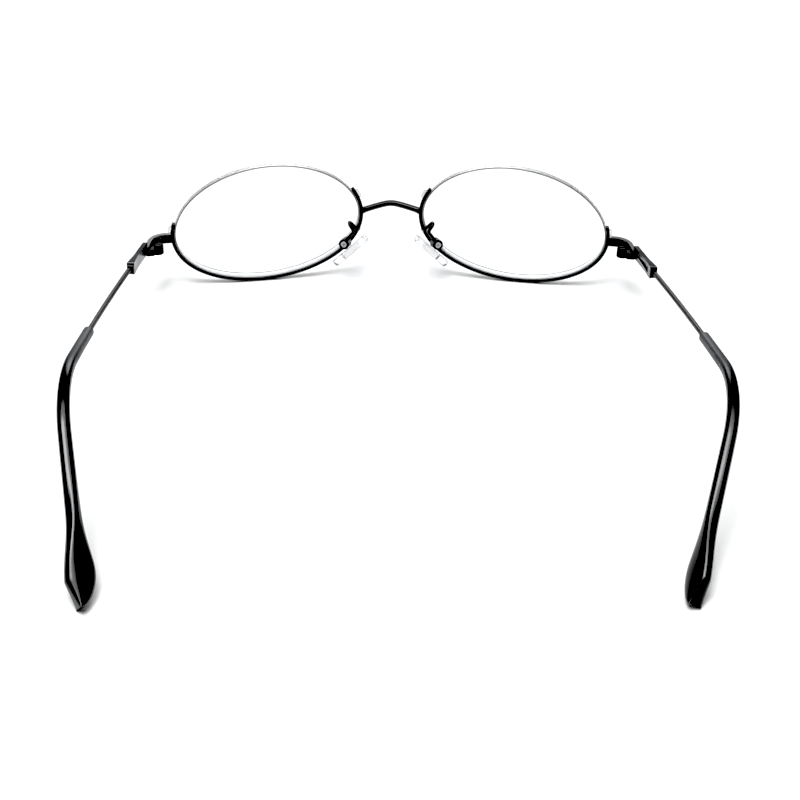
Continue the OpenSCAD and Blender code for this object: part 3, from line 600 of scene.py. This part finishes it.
# %% Geometry Nodes: a tube along a path
def tube_tree():
    tree = bpy.data.node_groups.new("tube_along_path", "GeometryNodeTree")
    for name, kind in (
        ("Path", "NodeSocketGeometry"),
        ("Diameter", "NodeSocketFloat"),
        ("Sides", "NodeSocketInt"),
        ("Finish", "NodeSocketMaterial"),
    ):
        tree.interface.new_socket(name, in_out="INPUT", socket_type=kind)
    tree.interface.new_socket("Tube", in_out="OUTPUT", socket_type="NodeSocketGeometry")
    given = add_node(tree, "NodeGroupInput").outputs
    path = add_node(tree, "GeometryNodeMeshToCurve", {"Mesh": given["Path"]})
    radius = add_node(tree, "ShaderNodeMath", {0: given["Diameter"], 1: 0.5}, operation="MULTIPLY")
    section = add_node(tree, "GeometryNodeCurvePrimitiveCircle", {
        "Resolution": given["Sides"], "Radius": radius.outputs[0],
    })
    swell = add_node(tree, "GeometryNodeInputNamedAttribute", {"Name": "swell"}, data_type="FLOAT")
    tube = add_node(tree, "GeometryNodeCurveToMesh", {
        "Curve": path.outputs["Curve"],
        "Profile Curve": section.outputs["Curve"],
        "Scale": swell.outputs["Attribute"],
        "Fill Caps": True,
    })
    real = add_node(tree, "GeometryNodeRealizeInstances", {"Geometry": tube.outputs["Mesh"]})
    finish = add_node(tree, "GeometryNodeSetMaterial", {
        "Geometry": real.outputs["Geometry"], "Material": given["Finish"],
    })
    add_node(tree, "NodeGroupOutput", {"Tube": finish.outputs["Geometry"]})
    return tree


tube = tube_tree()
tube_inputs = {
    item.name: item.identifier for item in tube.interface.items_tree if item.in_out == "INPUT"
}
print("Inputs of the tube:", sorted(tube_inputs))


# %% [markdown]
# The tree works on an object that holds only the path. Its result is turned into a plain mesh, and the
# path object goes, because the finished piece must not depend on a modifier.

# %% A wire from its path
def wire_piece(name, path, diameter, sides, side, body, material, replaced, swell=None):
    flip = SIDES[side]
    mesh = bpy.data.meshes.new(name + "_path")
    mesh.from_pydata(
        [(p[0] * flip * MM, p[1] * MM, p[2] * MM) for p in path],
        [(i, i + 1) for i in range(len(path) - 1)],
        [],
    )
    width = mesh.attributes.new("swell", "FLOAT", "POINT")
    width.data.foreach_set("value", swell or [1.0] * len(path))
    carrier = bpy.data.objects.new(name + "_path", mesh)
    bpy.context.scene.collection.objects.link(carrier)
    modifier = carrier.modifiers.new("tube", "NODES")
    modifier.node_group = tube
    modifier[tube_inputs["Diameter"]] = diameter * MM
    modifier[tube_inputs["Sides"]] = sides
    modifier[tube_inputs["Finish"]] = material
    ready = carrier.evaluated_get(bpy.context.evaluated_depsgraph_get())
    result = bpy.data.meshes.new_from_object(ready)
    result.name = name
    bpy.data.objects.remove(carrier)
    outward(result)
    piece = bpy.data.objects.new(name, result)
    bpy.context.scene.collection.objects.link(piece)
    dress(piece, body, replaced)
    result.set_sharp_from_angle(angle=math.radians(60))
    return piece


def rounded_path(corners, reach, steps):
    path = [corners[0]]
    for before, here, after in zip(corners, corners[1:], corners[2:]):
        a = here + (before - here).normalized() * reach
        b = here + (after - here).normalized() * reach
        for k in range(steps + 1):
            u = k / steps
            path.append(a * (1 - u) ** 2 + here * 2 * u * (1 - u) + b * u ** 2)
    return path + [corners[-1]]


# %% [markdown]
# The filament is clear nylon, thinner than a millimetre. It lies in the groove over the top of the lens,
# and at each end of the rim it goes out through one hole and in through the next, which leaves the two
# small loops that show beside the lens.

# %% Top filaments
CORD_D, FIRST_HOLE, HOLE_PITCH, STUB, TAIL, LOOP = 0.6, 1.05, 1.9, 1.2, 1.1, 0.45
CORD_GAP = 0.04
CORD_IN = CORD_D / 2 + CORD_GAP - GROOVE_D
CORD_OUT = RIM_OUT + LOOP
OVER_FROM, OVER_TO = RIM_FROM - 4, RIM_TO - 360 + 4


def cord_end(end, way):
    near, far = end + way * edge_angle(FIRST_HOLE), end + way * edge_angle(FIRST_HOLE + HOLE_PITCH)
    flat = [
        (far + way * edge_angle(STUB), CORD_IN), (far, CORD_IN), (far, CORD_OUT),
        (near, CORD_OUT), (near, CORD_IN), (near - way * edge_angle(TAIL), CORD_IN),
    ]
    return rounded_path([on_shell(edge_point(a, off), 0) for a, off in flat], LOOP, 8)


def cord_path():
    nose = cord_end(RIM_FROM, 1)
    outer = cord_end(RIM_TO - 360, -1)
    over = [on_shell(edge_point(a, CORD_IN), 0) for a in range(OVER_FROM, OVER_TO - 1, -2)]
    return [lens_place @ p for p in nose + over + outer[::-1]]


for side in SIDES:
    cord = wire_piece(
        f"{side}_nylon_filament", cord_path(), CORD_D, 12, side, "front", clear_nylon,
        [f"{side}_top_cord"],
    )
    print("Made", cord.name, "with", len(cord.data.polygons), "faces")

# %% [markdown]
# The bridge is a bent wire with straight legs and a round top. It bows forwards and up over the nose, and
# its legs are welded to the outside of each rim. A weld leaves a small fillet, so the section swells over
# the last 1.3 mm.

# %% Bridge
BRIDGE_D, BRIDGE_RISE, BRIDGE_BOW, BRIDGE_ANGLE, BRIDGE_BEND = 1.75, 1.3, 2.0, 183, 0.27
BRIDGE_SINK, FILLET_L, FILLET_SWELL = 0.15, 1.3, 0.22


def arch(u):
    leg = math.hypot(1, BRIDGE_BEND)
    return (leg - math.hypot(u, BRIDGE_BEND)) / (leg - BRIDGE_BEND)


def bridge_path(steps=48):
    end = lens_place @ on_shell(edge_point(BRIDGE_ANGLE, RIM_OUT - BRIDGE_SINK), 0)
    path, swell = [], []
    for i in range(steps + 1):
        u = 2 * i / steps - 1
        path.append(Vector((
            u * end.x,
            end.y - BRIDGE_BOW * arch(u),
            end.z + BRIDGE_RISE * arch(u),
        )))
        from_end = end.x * (1 - abs(u))
        swell.append(1 + FILLET_SWELL * max(0, 1 - from_end / FILLET_L) ** 2)
    return path, swell


path, swell = bridge_path()
bridge = wire_piece(
    "bent_bridge", path, BRIDGE_D, 20, "left", "front", black_steel, ["bridge"], swell,
)
print("Made", bridge.name)

# %% [markdown]
# Each pad arm is a thin wire that starts at a weld on the back of the rim, curls back and down, and ends
# at the box that holds the pad's screw. Its corner points are measured from the weld and, near the box,
# from the screw. The screw's place comes from the CAD joint.

# %% Pad arms
PAD_SLANT, PAD_SPLAY, ARM_D, BOX_D, ARM_ANGLE = 45.9, 20, 1.0, 3.0, 200.2
ARM_SEAT, ARM_GAP, ARM_BEND_R, ARM_WELD_L, ARM_WELD_SWELL = 0.55, 0.04, 0.75, 0.8, 0.25
rock = next(j for j in frame["joints"] if j["name"] == "left_pad_rock")
pad_place = (
    Matrix.Translation(Vector(rock["pos_m"]) / MM)
    @ Matrix.Rotation(math.radians(-90 - PAD_SLANT), 4, "Y")
    @ Matrix.Rotation(math.radians(-PAD_SPLAY), 4, "X")
)


def arm_path():
    root = on_shell(edge_point(ARM_ANGLE, RIM_IN + RIM_W * ARM_SEAT), 0)
    root = Vector((root.x, root.y, root.z - RIM_DEPTH / 2 - ARM_GAP))
    inwards = (root + Vector((0, 0, SAG_EDGE))).normalized()
    corners = [lens_place @ p for p in (
        root + inwards * 0.15,
        root - inwards * 1.2,
        root + Vector((2.4, 3.4, -2)),
        root + Vector((2.6, 3.3, -3.7)),
    )]
    corners += [pad_place @ Vector(p) for p in ((4.6, 0.85, -0.9), (BOX_D / 2 - 0.35, 0.2, -0.4))]
    return rounded_path(corners, ARM_BEND_R, 8)


for side in SIDES:
    path = arm_path()
    swell = [1 + ARM_WELD_SWELL * max(0, 1 - (p - path[0]).length / ARM_WELD_L) for p in path]
    arm = wire_piece(
        f"{side}_bent_pad_arm", path, ARM_D, 16, side, "front", black_steel,
        [f"{side}_pad_arm"], swell,
    )
    print("Made", arm.name)

# %% [markdown]
# A nose pad is a drop of clear silicone, moulded round a stiff insert. It has no sharp edges, so its skin
# runs in rings from the flat back, round the fat rim, to the flat front. The outline is an oval with
# fuller shoulders, a little narrower at the top.

# %% Nose pads
PAD_L, PAD_W, PAD_T = 12.7, 7.0, 2.0
PAD_BACK = BOX_D / 2 + 0.1
PAD_ROUND, PAD_CURVE, PAD_TAPER, PAD_STEPS = 0.48, 2.5, 0.12, 12
FACE_RINGS = 0.98, 0.75, 0.5, 0.3


def fuller(c, power=0.8):
    return math.copysign(abs(c) ** power, c)


def pad_ring(inset, height, sides=64):
    ring = []
    for j in range(sides):
        c, s = cos(360 * j / sides), sin(360 * j / sides)
        ring.append(pad_place @ Vector((
            (PAD_L / 2 - inset) * fuller(c),
            (PAD_W / 2 - inset) * fuller(s) * (1 - PAD_TAPER * c),
            height,
        )))
    return ring


def pad_piece(side):
    rings = [pad_ring(PAD_W / 2 * k, PAD_BACK) for k in FACE_RINGS]
    for k in range(PAD_STEPS + 1):
        v = 2 * k / PAD_STEPS - 1
        inset = PAD_ROUND * (1 - (1 - abs(v) ** PAD_CURVE) ** 0.5)
        rings.append(pad_ring(inset, PAD_BACK + PAD_T * (v + 1) / 2))
    rings += [pad_ring(PAD_W / 2 * k, PAD_BACK + PAD_T) for k in reversed(FACE_RINGS)]
    points, faces = skin(rings)
    piece = make_piece(
        f"{side}_silicone_pad", points, faces, side, f"{side}_pad", [silicone], [f"{side}_nose_pad"],
    )
    outward(piece.data)
    return piece


for side in SIDES:
    print("Made", pad_piece(side).name)

# %% [markdown]
# Behind the hinge each temple is a wire with a slight bow, bent down behind the ear. Its line is stepped
# off from a heading that changes along the way. The line's slope is the one unknown: it is found by
# trying, until the end of the tip just touches the table.

# %% Temple line
TEMPLE_L, SPLAY, BOW, BAR_L = 143.5, 7.1, 0.046, 19.0
BEND_AT, BEND_L, BEND_DROP = 91.0, 24.2, 45.0
STRIP_T, STRIP_R, STRIP_SET, LUG_L = 1.2, 5.15, 1.15, 1.2
LINE_OUT, LINE_BACK, LINE_UP = 0.8, 2.4, 1.45
STEP = 0.5
outer_point = lens_place @ on_shell(edge_point(0, RIM_OUT), 0)
elbow = Vector((outer_point.x + LUG_L * cos(LENS_WRAP), outer_point.y + STRIP_R - STRIP_SET))
line_start = Vector((
    elbow.x + (STRIP_R - STRIP_T / 2) * cos(SPLAY) + LINE_OUT,
    elbow.y + LINE_BACK,
    outer_point.z + LINE_UP,
))


def clamped(k):
    return min(1, max(0, k))


def heading(s, inward, rise):
    share = clamped((s - BEND_AT) / BEND_L + 0.5)
    a = SPLAY - BOW * max(0, s - BAR_L)
    b = rise - BEND_DROP * share
    v = Vector((
        sin(a) * cos(b) - math.tan(math.radians(inward)) * share,
        cos(a) * cos(b),
        sin(b),
    ))
    return v.normalized()


def temple_line(inward, rise):
    line, s = [line_start.copy()], 0
    while s < TEMPLE_L + 1:
        line.append(line[-1] + heading(s + STEP / 2, inward, rise) * STEP)
        s += STEP
    return line


def along(line, s):
    i = int(s / STEP)
    return line[i].lerp(line[i + 1], s / STEP - i)


# %% [markdown]
# The tip starts as a thin round sleeve and grows into a flat paddle that twists inwards. The section is a
# rounded square whose height, thickness and twist each change smoothly along the temple. Near the end a
# slanting cut lowers and flattens the upper edge, and a long rounding raises the lower one. The two tips
# were bent by hand, so each has its own inward angle and twist.

# %% Section of the tips
WIRE_D, SLEEVE_AT, SLEEVE_D, NECK_D = 1.35, 62.0, 2.6, 3.35
PADDLE_H, PADDLE_T = 7.6, 3.7
END_CUT, END_ROUND, END_TOP, END_WALL = 6.1, 11.0, 1.5, 0.3
FLARE_FROM, FLARE_TO = TEMPLE_L - 23.2, TEMPLE_L - 5
TWIST_FROM = FLARE_FROM - 10
CORNER_POWER, CUT_POWER = 0.8, 0.4
SLIM = 0.985
TIP_SHAPES = {"left": (11.5, 73.0), "right": (18.3, 42.0)}


def eased(s, start, end):
    k = clamped((s - start) / (end - start))
    return k * k * (3 - 2 * k)


def tip_ring(s, line, shape, rise, size, ahead_by=0, sides=96):
    way = heading(s, shape[0], rise)
    out = way.cross(Vector((0, 0, 1))).normalized()
    up = out.cross(way)
    twist = shape[1] * eased(s, TWIST_FROM, FLARE_TO)
    across = out * cos(twist) - up * sin(twist)
    tall = up * cos(twist) + out * sin(twist)
    round_d = SLEEVE_D + (NECK_D - SLEEVE_D) * eased(s, SLEEVE_AT, FLARE_FROM)
    flare = eased(s, FLARE_FROM, FLARE_TO)
    height = (round_d + (PADDLE_H - NECK_D) * flare) / 2 * size
    width = (round_d + (PADDLE_T - NECK_D) * flare) / 2 * size
    cut = clamped(1 - (TEMPLE_L - s) / END_CUT)
    high = height - (height - END_TOP) * cut
    k = clamped(1 - (TEMPLE_L - s) / END_ROUND)
    low = (height + END_TOP - END_WALL) * (1 - math.sqrt(1 - k * k)) - height
    ring = []
    for j in range(sides):
        power = CORNER_POWER - (CUT_POWER * cut if sides / 4 < j < sides * 3 / 4 else 0)
        c = fuller(sin(360 * j / sides), power) * width
        d = low + (1 - fuller(cos(360 * j / sides), power)) / 2 * (high - low)
        ring.append(along(line, s) + across * c + tall * d + way * ahead_by)
    return ring


# %% [markdown]
# The slope of each temple is solved next. Rings near the end are laid out more closely towards the very
# end, as the steps of a quarter circle are, because the rounding is steepest there.

# %% Slope of the temples
END_STATIONS = [TEMPLE_L - END_ROUND * (1 - sin(q)) for q in range(3, 91, 3)]
FIRST_RISE, TRIES = 9.0, 6


def solved(shape):
    rise = FIRST_RISE
    for _ in range(TRIES):
        line = temple_line(shape[0], rise)
        low = min(p.z for s in END_STATIONS for p in tip_ring(s, line, shape, rise, SLIM))
        rise -= math.degrees(low / TEMPLE_L)
    return temple_line(shape[0], rise), rise


temples = {side: solved(shape) for side, shape in TIP_SHAPES.items()}
for side, (line, rise) in temples.items():
    print("The", side, "temple rises by", round(rise, 3), "degrees")

# %% [markdown]
# With the lines known, the bare wire is one more tube, from inside the bar to inside the sleeve, and the
# tip is a skin over closely spaced rings. A few rings at the mouth roll its edge over: each has a size
# and a distance along the temple.

# %% Temple wires and tips
WIRE_FROM, WIRE_TO = BAR_L - 3.1, SLEEVE_AT + 3
MOUTH_ROLL = (0.62, 0.25), (0.62, 0.0), (0.8, 0.0), (0.86, 0.03), (0.93, 0.12), (0.97, 0.28)


def tip_rings(line, shape, rise):
    rings = [
        tip_ring(SLEEVE_AT, line, shape, rise, size, ahead_by)
        for size, ahead_by in MOUTH_ROLL
    ]
    plain = int(END_STATIONS[0] - SLEEVE_AT)
    stations = [SLEEVE_AT + 0.6 + (END_STATIONS[0] - SLEEVE_AT - 1) * k / plain for k in range(plain)]
    return rings + [tip_ring(s, line, shape, rise, SLIM) for s in stations + END_STATIONS]


for side, shape in TIP_SHAPES.items():
    line, rise = temples[side]
    count = int((WIRE_TO - WIRE_FROM) * 2)
    path = [along(line, WIRE_FROM + (WIRE_TO - WIRE_FROM) * k / count) for k in range(count + 1)]
    wire = wire_piece(
        f"{side}_drawn_wire", path, WIRE_D, 20, side, f"{side}_temple", wire_steel_painted_sheen,
        [f"{side}_temple_wire"],
    )
    points, faces = skin(tip_rings(line, shape, rise))
    tip = make_piece(
        f"{side}_acetate_tip", points, faces, side, f"{side}_temple", [tip_acetate[side]],
        [f"{side}_temple_tip"],
    )
    outward(tip.data)
    tip.data.set_sharp_from_angle(angle=math.radians(50))
    print("Made", wire.name, "and", tip.name)

# %% [markdown]
# The small machined parts keep their CAD shape. What a CAD solid lacks is the tiny round on every edge,
# and that round is what catches the light. A copy of each solid is cleaned of the triangles that lie in
# one plane, and a Bevel modifier rounds its edges. The rear end of each temple hinge is filed up, flush
# with the lower edge of its bar.

# %% Machined parts with softened edges
def softened(node, body, material, width, filed=None):
    source = frame["nodes"][node].data
    mesh = bpy.data.meshes.new(node + "_softened")
    shape = bmesh.new()
    shape.from_mesh(source)
    bmesh.ops.remove_doubles(shape, verts=shape.verts, dist=1e-6)
    bmesh.ops.dissolve_limit(shape, angle_limit=math.radians(0.3), verts=shape.verts, edges=shape.edges)
    if filed:
        filed_from, filed_to = filed
        for vertex in shape.verts:
            if vertex.co.y > filed_from:
                vertex.co.z = max(vertex.co.z, filed_to)
    shape.to_mesh(mesh)
    shape.free()
    for name in [a.name for a in mesh.attributes if a.name == "custom_normal"]:
        mesh.attributes.remove(mesh.attributes[name])
    mesh.materials.clear()
    mesh.materials.append(material)
    piece = bpy.data.objects.new(node + "_softened", mesh)
    bpy.context.scene.collection.objects.link(piece)
    bevel = piece.modifiers.new("round_edges", "BEVEL")
    bevel.width = width * MM
    bevel.segments = 3
    bevel.limit_method = "ANGLE"
    bevel.angle_limit = math.radians(32)
    bevel.harden_normals = True
    return dress(piece, body, [node])


machined = {
    "pad_box": (0.18, black_steel),
    "end_piece": (0.16, black_steel),
    "front_hinge": (0.1, oiled_steel),
    "temple_hinge": (0.1, oiled_steel),
    "temple_bar": (0.22, bar_steel_painted_sheen),
}
for side in SIDES:
    for kind, (width, steel) in machined.items():
        body = f"{side}_temple" if kind.startswith("temple") else "front"
        filed = None
        if kind == "temple_hinge":
            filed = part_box(f"{side}_{kind}")[1].y - MM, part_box(f"{side}_temple_bar")[0].z
        softened(f"{side}_{kind}", body, steel, width, filed)
print("Softened", 2 * len(machined), "black parts")

# %% [markdown]
# The small inner parts get the same treatment. The hinge screws are blued and oiled like their hinges,
# the inserts in the pads are clear, and only the pad screws are left bright. Their turned finish needs to
# know each screw's own axis, which comes from the CAD joint.

# %% Screws and inserts
for side, flip in SIDES.items():
    pad_axis = Vector(rock["axis"]) * Vector((flip, 1, 1))
    pad_centre = Vector(rock["pos_m"]) * Vector((flip, 1, 1))
    pad_steel = turned_steel(f"{side}_pad_turned_steel", pad_centre, pad_axis)
    softened(f"{side}_pad_screw", "front", pad_steel, 0.08)
    softened(f"{side}_pad_stem", f"{side}_pad", clear_insert, 0.12)
    softened(f"{side}_hinge_screw", "front", oiled_steel, 0.06)
print("Softened the screws and inserts")

# %% [markdown]
# The spectacles lie on a sheet of white board in soft light from above, which leaves only faint grey
# shadows where they touch it. The board has a faint tooth of its own.

# %% White table
def white_board():
    material, tree = empty_material("white_board")
    place = add_node(tree, "ShaderNodeTexCoord").outputs["Object"]
    tooth = add_node(tree, "ShaderNodeTexNoise", {"Vector": place, "Scale": per_mm(1.2), "Detail": 2.0})
    tone = add_node(tree, "ShaderNodeMix", {
        "Factor": tooth.outputs["Fac"], "A": linear("#f6f6f6"), "B": linear("#fafafa"),
    }, data_type="RGBA")
    shader = add_node(tree, "ShaderNodeBsdfPrincipled", {
        "Base Color": tone.outputs["Result"], "Roughness": 0.9, "Specular IOR Level": 0.1,
    })
    add_node(tree, "ShaderNodeOutputMaterial", {"Surface": shader.outputs["BSDF"]})
    return material


TABLE = 6.0
table_mesh = bpy.data.meshes.new("white_table")
table_mesh.from_pydata(
    [(-TABLE, -TABLE, 0), (TABLE, -TABLE, 0), (TABLE, TABLE, 0), (-TABLE, TABLE, 0)], [], [(0, 1, 2, 3)],
)
table_mesh.materials.append(white_board())
table = bpy.data.objects.new("white_table", table_mesh)
bpy.context.scene.collection.objects.link(table)
print("Table laid")


# %% [markdown]
# A wide soft light hangs over the table. Beside it is a smaller one, brighter for its size, which makes
# the streak on the polished tips. A panel stands beyond the lenses and puts a grey sheen on the tops of
# the metal. The surroundings are a dim grey, so that black parts stay black, and the lights are strong
# enough to turn the table quite white. The black level takes off the faint haze, as levels do on a
# product photograph.

# %% Lights
def soft_light(name, place, target, size, power, colour):
    lamp = bpy.data.lights.new(name, "AREA")
    lamp.shape = "DISK"
    lamp.size = size
    lamp.energy = power
    lamp.color = colour
    light = bpy.data.objects.new(name, lamp)
    light.location = place
    light.rotation_euler = (Vector(target) - Vector(place)).to_track_quat("-Z", "Y").to_euler()
    bpy.context.scene.collection.objects.link(light)


soft_light("key_softbox", (0.2, 0.3, 1.1), (0, 0, 0), 0.42, 5.5, (0.94, 0.97, 1))
soft_light("overhead_softbox", (0.1, 0.25, 1.15), (0, 0, 0), 1.0, 11, (1, 1, 1))
soft_light("back_panel", (0, -0.95, 0.62), (0, 0, 0), 0.6, 4.6, (1, 1, 1))
world = bpy.data.worlds.new("studio")
world.use_nodes = True
background = world.node_tree.nodes["Background"]
background.inputs["Color"].default_value = linear("#ffffff")
background.inputs["Strength"].default_value = 0.2
bpy.context.scene.world = world
grade = bpy.context.scene.view_settings
grade.view_transform = "Standard"
grade.use_curve_mapping = True
grade.curve_mapping.black_level = (0.05, 0.05, 0.05)
grade.curve_mapping.update()
print("Lights:", len(bpy.data.lights))
